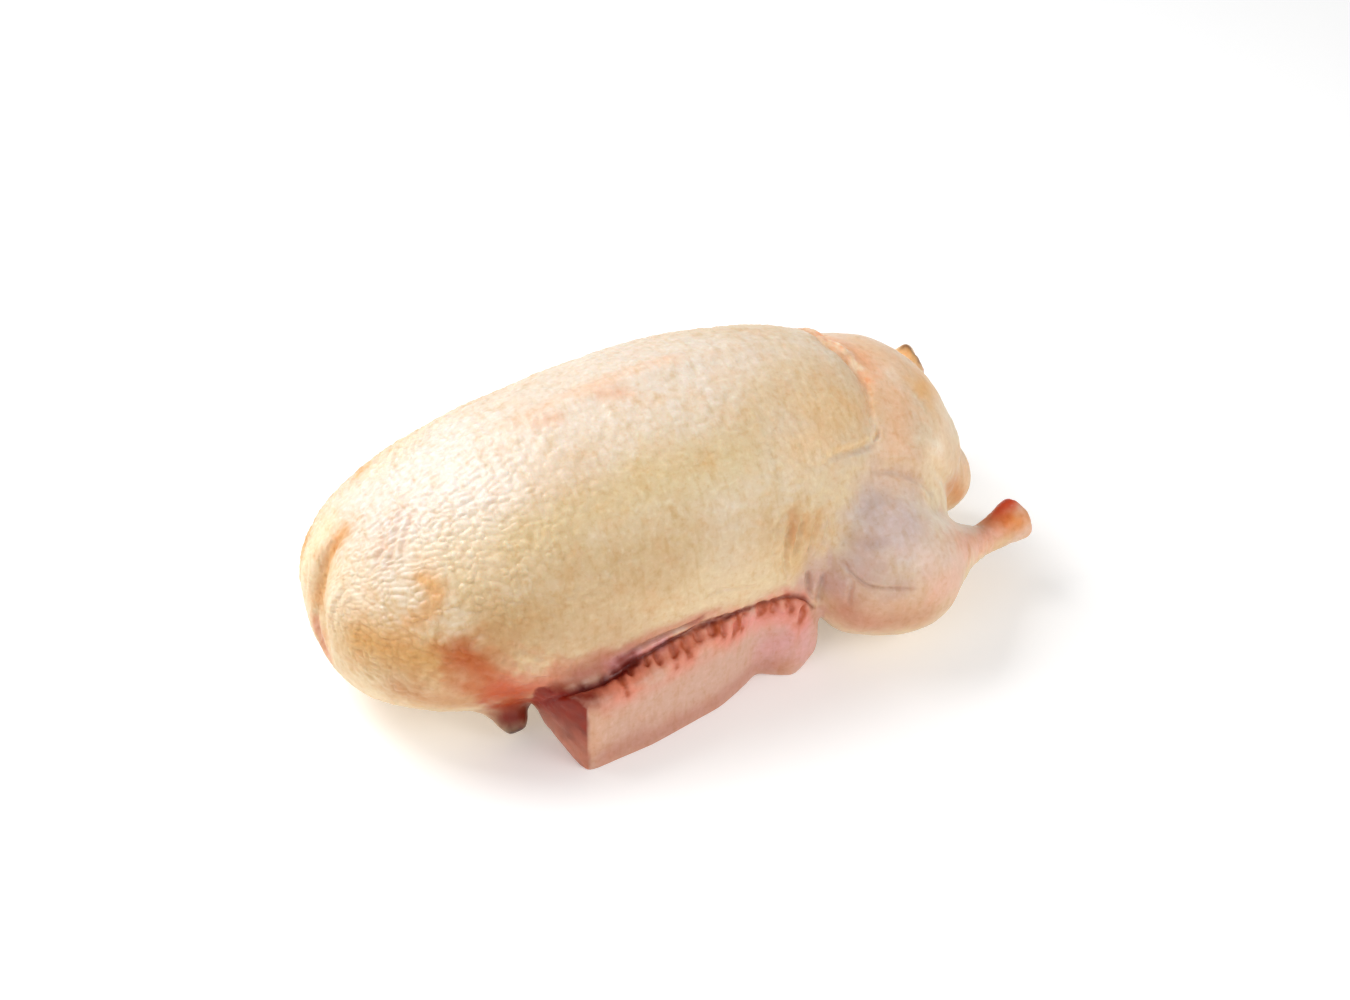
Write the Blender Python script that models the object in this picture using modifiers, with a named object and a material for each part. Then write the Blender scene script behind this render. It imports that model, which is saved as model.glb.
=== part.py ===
"""Whole raw goose, plucked and drawn, lying on its back with the breast up.

Metres, +Z up. X runs from the neck end (-X) to the tail (+X). The bird rests on its back on Z = 0.
The goose is one piece of meat, so it is one solid: soft forms for the trunk, wings, legs and tail
are joined, given one even skin, softened where they meet, and then folded and pitted.
Lengths in the tables below are millimetres. The near side is -Y, and the far side mirrors it.
"""

import math
from collections import namedtuple

import bmesh
import bpy
import numpy as np
from mathutils import Euler, Vector
from mathutils.kdtree import KDTree

MM = 0.001

# The breast and ribs, a barrel from the blunt neck end (-1) to where the belly begins (+1)
BARREL_FROM, BARREL_TO = -222, 155
BARREL_PLACES = (-1.0, -0.7, -0.3, 0.1, 0.5, 0.8, 1.0)
BARREL_HALF_WIDTHS = (100, 104, 101, 99, 97, 92, 84)
BARREL_TOPS = (138, 147, 165, 178, 184, 187, 186)
BARREL_BOTTOMS = (-10, -8, -8, -8, -6, 0, 8)
NECK_BLUNTNESS = 2.9
BELLY_BLUNTNESS = 2.4
KEEL_SHARPNESS = 1.1

Ellipsoid = namedtuple("Ellipsoid", "name centre radii turn")
Limb = namedtuple("Limb", "name points radii")
Fold = namedtuple("Fold", "points width depth lip")
Spot = namedtuple("Spot", "centre radius")

# Single masses of flesh on the midline. Turns in degrees
BELLY = Ellipsoid("belly", (121, 0, 76), (72, 80, 75), (0, 18, 0))
VENT_FAT = Ellipsoid("vent_fat", (162, -20, 74), (33, 36, 38), (0, 14, 0))
TAIL = Ellipsoid("tail", (189, -3, 46), (27, 28, 34), (0, -14, 0))

# Limbs on the near side, each through points with a radius at each
LEG = Limb(
    "leg",
    ((82, -60, 72), (105, -73, 55), (126, -82, 48), (150, -80, 45), (168, -78, 42), (184, -75, 39),
     (200, -72, 41), (217, -69, 44)),
    (36, 51, 44, 27.5, 15, 9.5, 12, 15.5),
)
UPPER_ARM = Limb("upper_arm", ((-106, -84, 42), (-62, -90, 50), (-5, -86, 56)), (10, 10.5, 7))
SHOULDER_NUB = Limb("shoulder_nub", ((-137, -60, 30), (-133, -72, 20), (-130, -83, 9)), (18, 12, 8))

# The far leg lies higher than the near one: it swings up at the hip by this many degrees
FAR_LEG_LIFT = 13

# The folded forearm's cage, from the wrist to the elbow. Each station gives the outer and inner x,
# the outer and inner y, and the bottom and top z
FOREARM_STATIONS = (
    (-103, -129, -122, -82, -9, 50),
    (-60, -66, -117, -74, -9, 54),
    (-10, -10, -105, -70, -8, 58),
    (22, 22, -91, -64, 2, 59),
    (43, 43, -99, -64, -5, 57),
    (63, 58, -91, -62, 6, 48),
)
# How far the wrist's inner lower corner is tucked in and up, and how crisp the cage's edges stay
WRIST_TUCK_X, WRIST_TUCK_Z = 12, 24
WRIST_CREASE = 0.75
EDGE_CREASE = 0.35

# The mesh: size of the even skin's squares, how far joints are softened, and the final triangle count
SKIN_GRID = 2.5 * MM
SOFTENING_ROUNDS = 10
BLENDING_ROUNDS = 45
FINAL_TRIANGLES = 11400

# Where one mass runs into the next with no edge, on both sides
BLENDS = (
    Spot((62, -78, 108), 34),
    Spot((110, -74, 106), 34),
    Spot((62, -84, 62), 22),
    Spot((120, -30, 138), 40),
    Spot((158, -62, 76), 20),
)

# Folds on the midline: the neck skin's crease, the tuck at its foot, the breast bone's end, and the vent
MIDLINE_FOLDS = (
    Fold(((-204, 6, 113), (-214, 1, 98), (-219, -1, 82), (-221, -6, 68), (-220, -20, 48)), 9, 9, 2),
    Fold(((-217, 26, 56), (-221, 6, 42), (-215, -10, 28)), 5, 5, 2),
    Fold(((-208, 46, 92), (-217, 34, 72), (-219, 26, 54)), 5, 4, 1),
    Fold(((186, -40, 74), (201, -20, 72), (204, 4, 72), (200, 24, 73), (186, 42, 76)), 6, 9, 1),
)

# Folds on each flank: where the breast ends, the step under it, the fine flank line, and slack skin
FLANK_FOLDS = (
    Fold(((104, 4, 164), (121, -20, 150), (119, -34, 145), (112, -50, 136), (116, -57, 128)), 4, 2.2, 0.8),
    Fold(((116, -57, 128), (105, -61, 127), (88, -65, 129), (71, -71, 132)), 3.5, 2.4, 0.8),
    Fold(((-19, -99, 84), (-10, -98, 85), (4, -98, 82), (18, -96, 78)), 2, 1.0, 0.4),
    Fold(((43, -88, 114), (38, -92, 101), (36, -94, 90), (41, -92, 72)), 3.5, 1.8, 0.7),
    Fold(((53, -86, 112), (48, -90, 103), (43, -93, 87)), 3.5, 1.8, 0.7),
)

# The narrow gap between each forearm and the ribs
WING_GAP = Fold(
    ((-128, -92, 47), (-100, -98, 50), (-60, -97, 53), (-17, -92, 57), (29, -88, 59), (56, -80, 44)), 3, 9, 0
)

# Folds on each leg: its upper crease, the one against the tail, the knee line, its root and its shank
LEG_FOLDS = (
    Fold(((106, -68, 113), (124, -71, 110), (143, -73, 96), (153, -71, 81)), 4.5, 2.6, 0.6),
    Fold(((147, -62, 112), (152, -66, 100), (163, -62, 84), (176, -52, 62), (182, -48, 40)), 5, 7, 1),
    Fold(((68, -100, 80), (74, -107, 70), (90, -117, 67), (110, -121, 63)), 2.5, 1.6, 0.5),
    Fold(((55, -88, 72), (56, -84, 50)), 3, 3, 1),
    Fold(((63, -93, 69), (61, -92, 46)), 3, 3, 1),
    Fold(((75, -106, 70), (74, -108, 50)), 3, 1.4, 0.5),
    Fold(((163, -87, 64), (162, -100, 55), (156, -106, 40)), 2.5, 2, 0.5),
    Fold(((178, -81, 54), (176, -90, 46), (172, -92, 34)), 2.5, 2, 0.5),
)

# Pits of the pulled wing quills, in a row on the forearm's upper edge
QUILL_ROW = ((-80, -105, 50), (-45, -102, 52), (-10, -96, 55), (22, -89, 57), (48, -90, 53))
QUILL_COUNT = 12
QUILL_PIT = Fold(None, 3.2, 3.5, 1)

# The breast bone shows as a low ridge under the skin along the midline
KEEL_RIDGE = Fold(
    ((-118, 2, 157), (-75, -1, 168), (-29, -2, 176), (23, -2, 181), (66, 0, 181), (100, 4, 172)), 7, -2.5, 0
)


def smooth_through(places, values, at):
    """Cubic curve through the given values, read at any place."""
    places = np.asarray(places, float)
    values = np.asarray(values, float)
    slopes = np.gradient(values, places)
    index = np.clip(np.searchsorted(places, at) - 1, 0, len(places) - 2)
    step = places[index + 1] - places[index]
    t = np.clip((at - places[index]) / step, 0, 1)
    rise = t * t * (3 - 2 * t)
    return (
        values[index] * (1 - rise)
        + values[index + 1] * rise
        + slopes[index] * step * t * (1 - t) ** 2
        - slopes[index + 1] * step * t * t * (1 - t)
    )


def new_object(name, mesh, collection):
    made = bpy.data.objects.new(name, mesh)
    collection.objects.link(made)
    return made


def sphere_mesh(name, segments=64, rings=40):
    """A unit sphere whose poles lie on X."""
    mesh = bpy.data.meshes.new(name)
    bm = bmesh.new()
    bmesh.ops.create_uvsphere(bm, u_segments=segments, v_segments=rings, radius=1.0)
    bmesh.ops.rotate(bm, verts=bm.verts, matrix=Euler((0, math.pi / 2, 0)).to_matrix())
    bm.to_mesh(mesh)
    bm.free()
    return mesh


def points_of(mesh):
    points = np.empty(len(mesh.vertices) * 3, np.float32)
    mesh.vertices.foreach_get("co", points)
    return points.reshape(-1, 3).astype(float)


def normals_of(mesh):
    normals = np.empty(len(mesh.vertices) * 3, np.float32)
    mesh.vertex_normals.foreach_get("vector", normals)
    return normals.reshape(-1, 3).astype(float)


def set_points(mesh, points):
    mesh.vertices.foreach_set("co", points.astype(np.float32).ravel())
    mesh.update()


def mirrored(points, side):
    """Points given for the near side, on either side."""
    return np.asarray(points, float) * (1, -side, 1)


def lifted(points, degrees):
    """Points of the leg, swung up about the hip."""
    hip = np.array(LEG.points[0], float)
    turn = np.array(Euler((0, -math.radians(degrees), 0)).to_matrix())
    return (np.asarray(points, float) - hip) @ turn.T + hip


def make_barrel(collection):
    """Breast and ribs: a sphere drawn out to the bird's own width, top line and back line."""
    mesh = sphere_mesh("barrel", 96, 72)
    along, side, up = points_of(mesh).T
    ring = np.sqrt(np.clip(1 - along**2, 1e-9, 1))
    blunt = np.where(along < 0, NECK_BLUNTNESS, BELLY_BLUNTNESS)
    fuller = (1 - np.abs(along) ** blunt) ** (1 / blunt)
    width = smooth_through(BARREL_PLACES, BARREL_HALF_WIDTHS, along)
    top = smooth_through(BARREL_PLACES, BARREL_TOPS, along)
    bottom = smooth_through(BARREL_PLACES, BARREL_BOTTOMS, along)
    x = (BARREL_FROM + BARREL_TO) / 2 + along * (BARREL_TO - BARREL_FROM) / 2
    side, up = side / ring, up / ring
    sharp = np.where(up > 0, KEEL_SHARPNESS, 1.0)
    side = np.sign(side) * np.abs(side) ** sharp
    up = np.sign(up) * np.abs(up) ** sharp
    y = side * fuller * width
    z = (top + bottom) / 2 + up * fuller * (top - bottom) / 2
    set_points(mesh, np.column_stack([x, y, z]) * MM)
    return new_object("barrel", mesh, collection)


def make_mass(form, collection):
    """One ellipsoid of flesh."""
    mesh = sphere_mesh(form.name)
    turned = np.array(Euler([math.radians(a) for a in form.turn]).to_matrix())
    points = points_of(mesh) * np.array(form.radii) @ turned.T + np.array(form.centre)
    set_points(mesh, points * MM)
    return new_object(form.name, mesh, collection)


def make_limb(form, points, collection):
    """A limb: a thick curve with its own radius at each point, made a closed mesh."""
    data = bpy.data.curves.new(form.name, "CURVE")
    data.dimensions = "3D"
    data.bevel_depth = 1.0
    data.bevel_resolution = 10
    data.use_fill_caps = True
    data.resolution_u = 10
    spline = data.splines.new("BEZIER")
    spline.bezier_points.add(len(points) - 1)
    for knot, point, radius in zip(spline.bezier_points, points, form.radii):
        knot.co = Vector(point) * MM
        knot.radius = radius * MM
        knot.handle_left_type = "AUTO"
        knot.handle_right_type = "AUTO"
    curve = new_object(form.name + "_curve", data, collection)
    mesh = evaluated_mesh(curve)
    bpy.data.objects.remove(curve)
    bm = bmesh.new()
    bm.from_mesh(mesh)
    bmesh.ops.remove_doubles(bm, verts=bm.verts, dist=0.01 * MM)
    bmesh.ops.recalc_face_normals(bm, faces=bm.faces)
    bm.to_mesh(mesh)
    bm.free()
    return new_object(form.name, mesh, collection)


def make_forearm(side, collection):
    """The folded forearm: a cage of square rings from wrist to elbow, rounded by subdivision."""
    mesh = bpy.data.meshes.new("forearm")
    bm = bmesh.new()
    crease = bm.edges.layers.float.new("crease_edge")
    rings = []
    for outer_x, inner_x, outer_y, inner_y, bottom, top in FOREARM_STATIONS:
        tuck_x, tuck_z = (0, 0) if rings else (WRIST_TUCK_X, WRIST_TUCK_Z)
        corners = (
            (outer_x, outer_y, bottom),
            (inner_x + tuck_x, inner_y, bottom + tuck_z),
            (inner_x, inner_y, top),
            (outer_x, outer_y, top),
        )
        rings.append([bm.verts.new(Vector(corner) * MM) for corner in mirrored(corners, side)])
    for ring, following in zip(rings, rings[1:]):
        for k in range(4):
            bm.faces.new((ring[k], ring[k - 1], following[k - 1], following[k]))
    wrist = bm.faces.new(rings[0])
    bm.faces.new(rings[-1][::-1])
    bmesh.ops.recalc_face_normals(bm, faces=bm.faces)
    for edge in bm.edges:
        edge[crease] = EDGE_CREASE
    for edge in wrist.edges:
        edge[crease] = WRIST_CREASE
    bm.to_mesh(mesh)
    bm.free()
    forearm = new_object("forearm", mesh, collection)
    rounded = forearm.modifiers.new("rounded", "SUBSURF")
    rounded.levels = 3
    rounded.render_levels = 3
    forearm.data = evaluated_mesh(forearm)
    forearm.modifiers.clear()
    return forearm


def new_collection(name):
    made = bpy.data.collections.new(name)
    bpy.context.scene.collection.children.link(made)
    return made


def evaluated_mesh(made):
    graph = bpy.context.evaluated_depsgraph_get()
    return bpy.data.meshes.new_from_object(made.evaluated_get(graph))


def remove_all(objects):
    for old in list(objects):
        bpy.data.objects.remove(old)


def join_forms(trunk, forms):
    """One closed skin over the trunk and all the forms on it."""
    joined = trunk.modifiers.new("join", "BOOLEAN")
    joined.operation = "UNION"
    joined.operand_type = "COLLECTION"
    joined.solver = "MANIFOLD"
    joined.collection = forms
    even = trunk.modifiers.new("even_skin", "REMESH")
    even.mode = "VOXEL"
    even.voxel_size = SKIN_GRID
    return evaluated_mesh(trunk)


def relax(mesh, rounds, share):
    """Moves each point towards the middle of its neighbours, by its own share."""
    edges = np.empty(len(mesh.edges) * 2, np.int32)
    mesh.edges.foreach_get("vertices", edges)
    first, second = edges.reshape(-1, 2).T
    points = points_of(mesh)
    count = np.bincount(edges, minlength=len(points))[:, None]
    for _ in range(rounds):
        total = np.zeros_like(points)
        for axis in range(3):
            total[:, axis] += np.bincount(first, points[second, axis], len(points))
            total[:, axis] += np.bincount(second, points[first, axis], len(points))
        points += (total / count - points) * share
    set_points(mesh, points)


def blend_share(mesh):
    """How much of each point belongs to a place where masses run together, 0 to 1."""
    points = points_of(mesh) / MM
    share = np.zeros(len(points))
    for spot in BLENDS:
        for side in (-1, 1):
            reach = np.linalg.norm(points - mirrored(spot.centre, side), axis=1) / spot.radius
            share = np.maximum(share, np.exp(-(reach**4)))
    return share[:, None]


def route_through(points, spacing=1.0):
    """Points about a millimetre apart on a smooth curve through the given ones."""
    points = np.asarray(points, float)
    lengths = np.linalg.norm(np.diff(points, axis=0), axis=1)
    places = np.concatenate([[0], np.cumsum(lengths)])
    at = np.linspace(0, places[-1], int(places[-1] / spacing) + 2)
    return np.column_stack([smooth_through(places, points[:, axis], at) for axis in range(3)])


def press(points, normals, route, fold):
    """Sinks a fold into the skin along a route, with a lip beside it. The ends run out shallow."""
    tree = KDTree(len(route))
    for index, place in enumerate(route):
        tree.insert(place, index)
    tree.balance()
    reach = 4 * fold.width
    low, high = route.min(axis=0) - reach, route.max(axis=0) + reach
    for index in np.flatnonzero(((points > low) & (points < high)).all(axis=1)):
        _, nearest, distance = tree.find(points[index])
        if distance > reach:
            continue
        share = nearest / max(len(route) - 1, 1)
        run_out = min(1.0, 5 * share, 5 * (1 - share)) if len(route) > 1 else 1.0
        sink = fold.depth * math.exp(-((distance / fold.width) ** 2))
        lip = fold.lip * math.exp(-((distance / fold.width - 1.8) ** 2))
        points[index] += normals[index] * (lip - sink) * run_out


def fold_skin(mesh):
    """All folds, pits and ridges of the skin."""
    points = points_of(mesh) / MM
    normals = normals_of(mesh)
    for fold in (*MIDLINE_FOLDS, KEEL_RIDGE):
        press(points, normals, route_through(fold.points), fold)
    for side in (-1, 1):
        for fold in (*FLANK_FOLDS, WING_GAP):
            press(points, normals, route_through(mirrored(fold.points, side)), fold)
        for fold in LEG_FOLDS:
            placed = lifted(fold.points, FAR_LEG_LIFT) if side > 0 else fold.points
            press(points, normals, route_through(mirrored(placed, side)), fold)
        row = route_through(mirrored(QUILL_ROW, side))
        for place in np.linspace(0, len(row) - 1, QUILL_COUNT).astype(int):
            press(points, normals, row[place : place + 1], QUILL_PIT)
    set_points(mesh, points * MM)


def thin_out(made):
    """Fewer triangles, kept where the surface bends most."""
    made.data.calc_loop_triangles()
    thin = made.modifiers.new("thin_out", "DECIMATE")
    thin.ratio = FINAL_TRIANGLES / len(made.data.loop_triangles)
    made.data = evaluated_mesh(made)
    made.modifiers.clear()


def centre_on_origin(mesh):
    """Moves the bird sideways until its box is centred on X and Y."""
    points = points_of(mesh)
    middle = (points.min(axis=0) + points.max(axis=0)) / 2
    middle[2] = 0
    set_points(mesh, points - middle)


def rest_on_floor(made, cutters):
    """Cuts the flat underside on which the bird rests."""
    depth, reach = 60 * MM, 0.8
    mesh = bpy.data.meshes.new("floor_cutter")
    bm = bmesh.new()
    bmesh.ops.create_cube(bm, size=1.0)
    bmesh.ops.scale(bm, vec=(reach, reach, depth), verts=bm.verts)
    bmesh.ops.translate(bm, vec=(0, 0, -depth / 2), verts=bm.verts)
    bm.to_mesh(mesh)
    bm.free()
    cutter = new_object("floor_cutter", mesh, cutters)
    cutter.hide_render = True
    cutter.display_type = "WIRE"
    flat = made.modifiers.new("flat_underside", "BOOLEAN")
    flat.operation = "DIFFERENCE"
    flat.solver = "EXACT"
    flat.object = cutter


def skin_material():
    skin = bpy.data.materials.new("raw_skin")
    skin.use_nodes = True
    shader = skin.node_tree.nodes["Principled BSDF"]
    shader.inputs["Base Color"].default_value = (0.83, 0.65, 0.44, 1)
    shader.inputs["Roughness"].default_value = 0.38
    shader.inputs["Metallic"].default_value = 0.0
    return skin


def main():
    remove_all(bpy.data.objects)
    bird = new_collection("whole_raw_goose")
    forms = new_collection("forms")
    cutters = new_collection("cutters")
    trunk = make_barrel(bird)
    make_mass(BELLY, forms)
    make_mass(VENT_FAT, forms)
    make_mass(TAIL, forms)
    for side in (-1, 1):
        leg_points = lifted(LEG.points, FAR_LEG_LIFT) if side > 0 else LEG.points
        make_limb(LEG, mirrored(leg_points, side), forms)
        make_limb(UPPER_ARM, mirrored(UPPER_ARM.points, side), forms)
        make_limb(SHOULDER_NUB, mirrored(SHOULDER_NUB.points, side), forms)
        make_forearm(side, forms)
    goose = new_object("goose", join_forms(trunk, forms), bird)
    remove_all([trunk, *forms.objects])
    relax(goose.data, SOFTENING_ROUNDS, 0.5)
    relax(goose.data, BLENDING_ROUNDS, 0.5 * blend_share(goose.data))
    fold_skin(goose.data)
    thin_out(goose)
    centre_on_origin(goose.data)
    rest_on_floor(goose, cutters)
    goose.data.materials.clear()
    goose.data.materials.append(skin_material())


main()
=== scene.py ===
"""Looks of a whole raw goose that lies on its back: one moist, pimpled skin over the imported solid.

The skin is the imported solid's own surface in a fine mesh, with crisper folded forearms. Folds, slack
wrinkles, quill pits and feather follicles are pressed into it again at full sharpness. Its colour is painted
point by point from named tints, and the material adds fine mottling, gloss and translucence.
Lengths in the tables are millimetres in the frame's own axes. The near side is -Y.
"""

import math
from collections import namedtuple
from itertools import product

import bmesh
import bpy
import numpy as np
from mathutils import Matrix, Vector
from mathutils.kdtree import KDTree


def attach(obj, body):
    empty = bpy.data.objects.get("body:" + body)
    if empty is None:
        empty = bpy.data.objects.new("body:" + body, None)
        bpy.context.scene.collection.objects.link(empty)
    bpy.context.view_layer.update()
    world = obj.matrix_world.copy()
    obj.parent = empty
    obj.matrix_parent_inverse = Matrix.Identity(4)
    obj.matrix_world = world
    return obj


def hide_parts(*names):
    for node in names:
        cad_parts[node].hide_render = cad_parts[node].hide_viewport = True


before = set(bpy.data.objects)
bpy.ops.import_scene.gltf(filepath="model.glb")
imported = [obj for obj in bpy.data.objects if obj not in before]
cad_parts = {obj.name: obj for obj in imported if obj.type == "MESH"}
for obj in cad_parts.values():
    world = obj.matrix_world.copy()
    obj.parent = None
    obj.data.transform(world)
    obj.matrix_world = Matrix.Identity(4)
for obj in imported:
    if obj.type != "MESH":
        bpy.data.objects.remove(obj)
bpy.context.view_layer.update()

MM = 0.001

Fold = namedtuple("Fold", "points width depth lip")
Tint = namedtuple("Tint", "places width colour strength")
Spot = namedtuple("Spot", "centre radius value")

# Mesh: the even grid, how much of the hidden underside is thinned out, and the finer grid round details
SKIN_GRID = 1.75 * MM
FACET_ROUNDS = 14
WELD_DISTANCE = 0.01 * MM
UNDERSIDE_KEPT = 0.12
UNDERSIDE_TOP = 22
FACING_DOWN = -0.25
REFINED_REACH = 4.5
MOST_TRIANGLES = 192000

# The photograph's camera, solved from the bird's outline
VIEW_AZIMUTH = math.radians(-25)
VIEW_ELEVATION = math.radians(38)
VIEW_DISTANCE = 1.5
VIEW_TARGET = Vector((-0.010, 0, 0.08))
VIEW_LENS, SENSOR_WIDTH = 66, 36
PHOTO_WIDTH, PHOTO_HEIGHT = 1350, 1000
TARGET_PIXEL = (645, 503)

# The far leg lies higher than the near one: its marks swing up about the hip with it
HIP = (82, -60, 72)
FAR_LEG_LIFT = 13

# Folds on the midline of the neck end: the skin's crease and the tucks beside it
NECK_CREASE = ((-200, 6, 115), (-205, 6, 107), (-208, 7, 98), (-211, 5, 91), (-214, 4, 84), (-217, 3, 74))
MIDLINE_FOLDS = (
    Fold(NECK_CREASE, 4.4, 1.7, 0.9),
    Fold(((-219, 3, 74), (-222, 2, 62), (-222, -4, 51), (-220, -14, 44)), 2.6, 1.8, 0.7),
    Fold(((-217, 26, 56), (-221, 6, 42), (-215, -10, 28)), 3, 1.6, 0.6),
    Fold(((-206, 44, 94), (-214, 34, 76), (-217, 24, 60)), 2.6, 1.0, 0.5),
    Fold(((-211, 20, 92), (-217, 16, 78), (-220, 15, 66)), 2, 0.7, 0.4),
    Fold(((-205, -26, 105), (-212, -24, 92), (-216, -26, 78)), 2.2, 0.5, 0.4),
)

# Folds on each flank
FLANK_FOLDS = (
    # the end of the breast over the belly
    Fold(((124, -24, 147), (121, -34, 143), (117, -44, 138), (115, -54, 131)), 1.6, 0.9, 0.3),
    Fold(((119, -52, 133), (117, -56, 129), (112, -58, 127)), 1.4, 1.2, 0.6),
    Fold(((113, -57, 127), (104, -60, 127), (91, -64, 131), (80, -67, 133), (73, -70, 132)), 2.2, 1.3, 0.5),
    # a slack line above the wing
    Fold(((-19, -99, 84), (-10, -98, 85), (4, -98, 82), (18, -96, 78)), 1.2, 0.9, 0.3),
    # wrinkled skin in front of the thigh
    Fold(((33, -87, 116), (30, -92, 104), (29, -95, 92), (33, -95, 80)), 1.8, 0.8, 0.4),
    Fold(((43, -88, 114), (38, -92, 101), (36, -94, 90), (41, -92, 72)), 2, 1.8, 0.8),
    Fold(((53, -86, 112), (48, -90, 103), (43, -93, 87)), 2, 1.6, 0.8),
    Fold(((62, -84, 108), (58, -88, 98), (52, -91, 82)), 1.8, 1.2, 0.6),
    Fold(((70, -82, 103), (66, -88, 92), (59, -91, 80)), 1.6, 0.8, 0.4),
)

# The torn edge of the breast skin over the belly: a raised, knobbly band, and the step on its breast side
TORN_EDGE = ((113, 52, 133), (112, 40, 144), (113, 26, 153), (115, 3, 159), (123, -12, 153), (124, -24, 147))
TORN_WIDTH, TORN_HEIGHT, TORN_KNOB = 5, 3, 3.4
KNOBS = ((TORN_KNOB, 0.7, 12), (2 * TORN_KNOB, 0.5, 15))
KNOB_BASE, KNOB_RISE = 0.6, 0.5
TORN_STEP = Fold(
    ((107, 40, 147), (108, 26, 157), (110, 1, 163), (118, -15, 156), (120, -26, 149)), 1.4, 1.0, 0.2
)

# Fine parallel wrinkles of slack skin: on the shoulder, and drawn towards the root of the wing
SHOULDER_WRINKLES = (
    ((-166, -9, 135), (-177, -24, 127), (-187, -37, 116)),
    ((-172, -9, 132), (-180, -21, 126), (-188, -30, 118)),
    ((-161, -17, 136), (-171, -25, 130), (-177, -36, 121)),
    ((-179, -12, 128), (-185, -22, 123), (-192, -30, 116)),
)
ROOT_WRINKLES = (
    ((-139, -96, 73), (-127, -96, 62), (-112, -99, 56)),
    ((-145, -95, 82), (-128, -97, 71), (-108, -98, 60)),
    ((-134, -95, 88), (-121, -97, 77), (-100, -98, 64)),
    ((-152, -92, 72), (-140, -94, 64), (-128, -94, 53)),
)
WRINKLE = Fold(None, 2.0, 0.75, 0.6)

# How a fold runs out at its ends, varies along its way and piles up a lip beside it
RUN_OUT_RATE = 5
DEPTH_VARIES, DEPTH_VARIES_OVER = 0.35, 7
LIP_PLACE = 1.8

# The dark crack between each forearm and the skin above it: wide and deep at the wrist, thin at the elbow
CRACK = (
    (-118, -94, 36), (-115, -100, 43), (-111, -105, 48), (-100, -107, 50), (-87, -108, 52), (-77, -106, 53),
    (-65, -103, 55), (-53, -100, 56), (-42, -98, 58), (-30, -98, 60), (-17, -97, 62), (-4, -96, 61),
    (13, -90, 58), (28, -89, 58), (42, -92, 57), (50, -91, 50), (56, -92, 45),
)
CRACK_PARTS = (
    Fold(CRACK[:8], 2.2, 2.6, 0.3),
    Fold(CRACK[6:13], 1.7, 2.8, 0.4),
    Fold(CRACK[12:], 1.4, 1.5, 0.4),
)
LIP_LINE = Fold(((-74, -99, 56), (-56, -98, 62), (-33, -97, 65), (-18, -97, 68)), 1.3, 1.2, 0.5)

# Folds on each leg
LEG_FOLDS = (
    Fold(((103, -69, 115), (116, -69, 111), (128, -71, 105), (141, -73, 95), (147, -74, 84)), 1.8, 0.7, 0.4),
    Fold(((150, -64, 104), (156, -64, 94), (166, -58, 78), (178, -48, 58)), 3.4, 0.9, 0.3),
    Fold(((68, -102, 82), (73, -105, 75), (80, -112, 69), (95, -118, 66), (110, -121, 63)), 1.1, 1.0, 0.5),
    Fold(((55, -88, 72), (56, -84, 50)), 1.8, 1.6, 0.6),
    Fold(((63, -93, 69), (61, -92, 46)), 1.8, 1.6, 0.6),
    Fold(((75, -106, 70), (72, -108, 52)), 1.6, 1.0, 0.4),
    Fold(((163, -87, 64), (162, -100, 55), (156, -106, 40)), 1.6, 1.0, 0.4),
    Fold(((178, -81, 54), (176, -90, 46), (172, -92, 34)), 1.6, 1.2, 0.4),
    Fold(((186, -76, 52), (185, -84, 44), (182, -86, 34)), 1.3, 0.6, 0.3),
    Fold(((217, -69, 56), (220, -70, 44), (217, -71, 33)), 3, 1.4, 0.7),
    Fold(((219, -64, 44), (220, -61, 40)), 2, 0.8, 0.4),
)

# The shank's cut end: gristle with a browned rim
SHANK_END = (217, -70, 44)
SHANK_END_RADIUS = 12.5
SHANK_RIM_PARTS = 16
SHANK_RIM = tuple(
    (
        SHANK_END[0],
        SHANK_END[1] + SHANK_END_RADIUS * math.cos(math.tau * k / SHANK_RIM_PARTS),
        SHANK_END[2] + SHANK_END_RADIUS * math.sin(math.tau * k / SHANK_RIM_PARTS),
    )
    for k in range(SHANK_RIM_PARTS + 1)
)

# Hollows of the pulled wing quills: short deep pits side by side, down from the crack over the forearm's edge
QUILL_FROM, QUILL_TO, QUILL_COUNT = 0.25, 0.97, 15
QUILL_RUN = (-1.8, -8.5, -8)
QUILL_START, QUILL_BEND = 0.1, (0.5, 0.85, 0.12)
QUILL_SHIFT, QUILL_LEAN, QUILL_LENGTH_VARIES = 0.22, 2, 0.25
QUILL_GROOVE = Fold(None, 2.1, 2.0, 0.8)

# The folded forearm's cage, from wrist to elbow: outer and inner x, outer and inner y, bottom and top z
FOREARM_STATIONS = (
    (-103, -129, -122.5, -82, -9, 50.5),
    (-60, -66, -117.5, -74, -9, 54.5),
    (-10, -10, -105.5, -70, -8, 58.5),
    (22, 22, -91.5, -64, 2, 59.5),
    (43, 43, -99.5, -64, -5, 57.5),
    (63.5, 58, -91.5, -62, 6, 48),
)
WRIST_TUCK_X, WRIST_TUCK_Z = 12, 24
WRIST_CREASE, EDGE_CREASE = 0.92, 0.55
FOREARM_LEVELS, LIP_LEVELS = 4, 2

# The lip of skin that fills the gap between the forearm and the ribs, as a tube with a radius at each point
LIP = ((-124, -88, 40), (-104, -97, 47), (-80, -99, 51), (-55, -98, 55), (-25, -94, 60), (5, -89, 60))
LIP_RADII = (4, 6, 6.5, 6.5, 6, 3)
LIP_SIDES = 8

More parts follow.
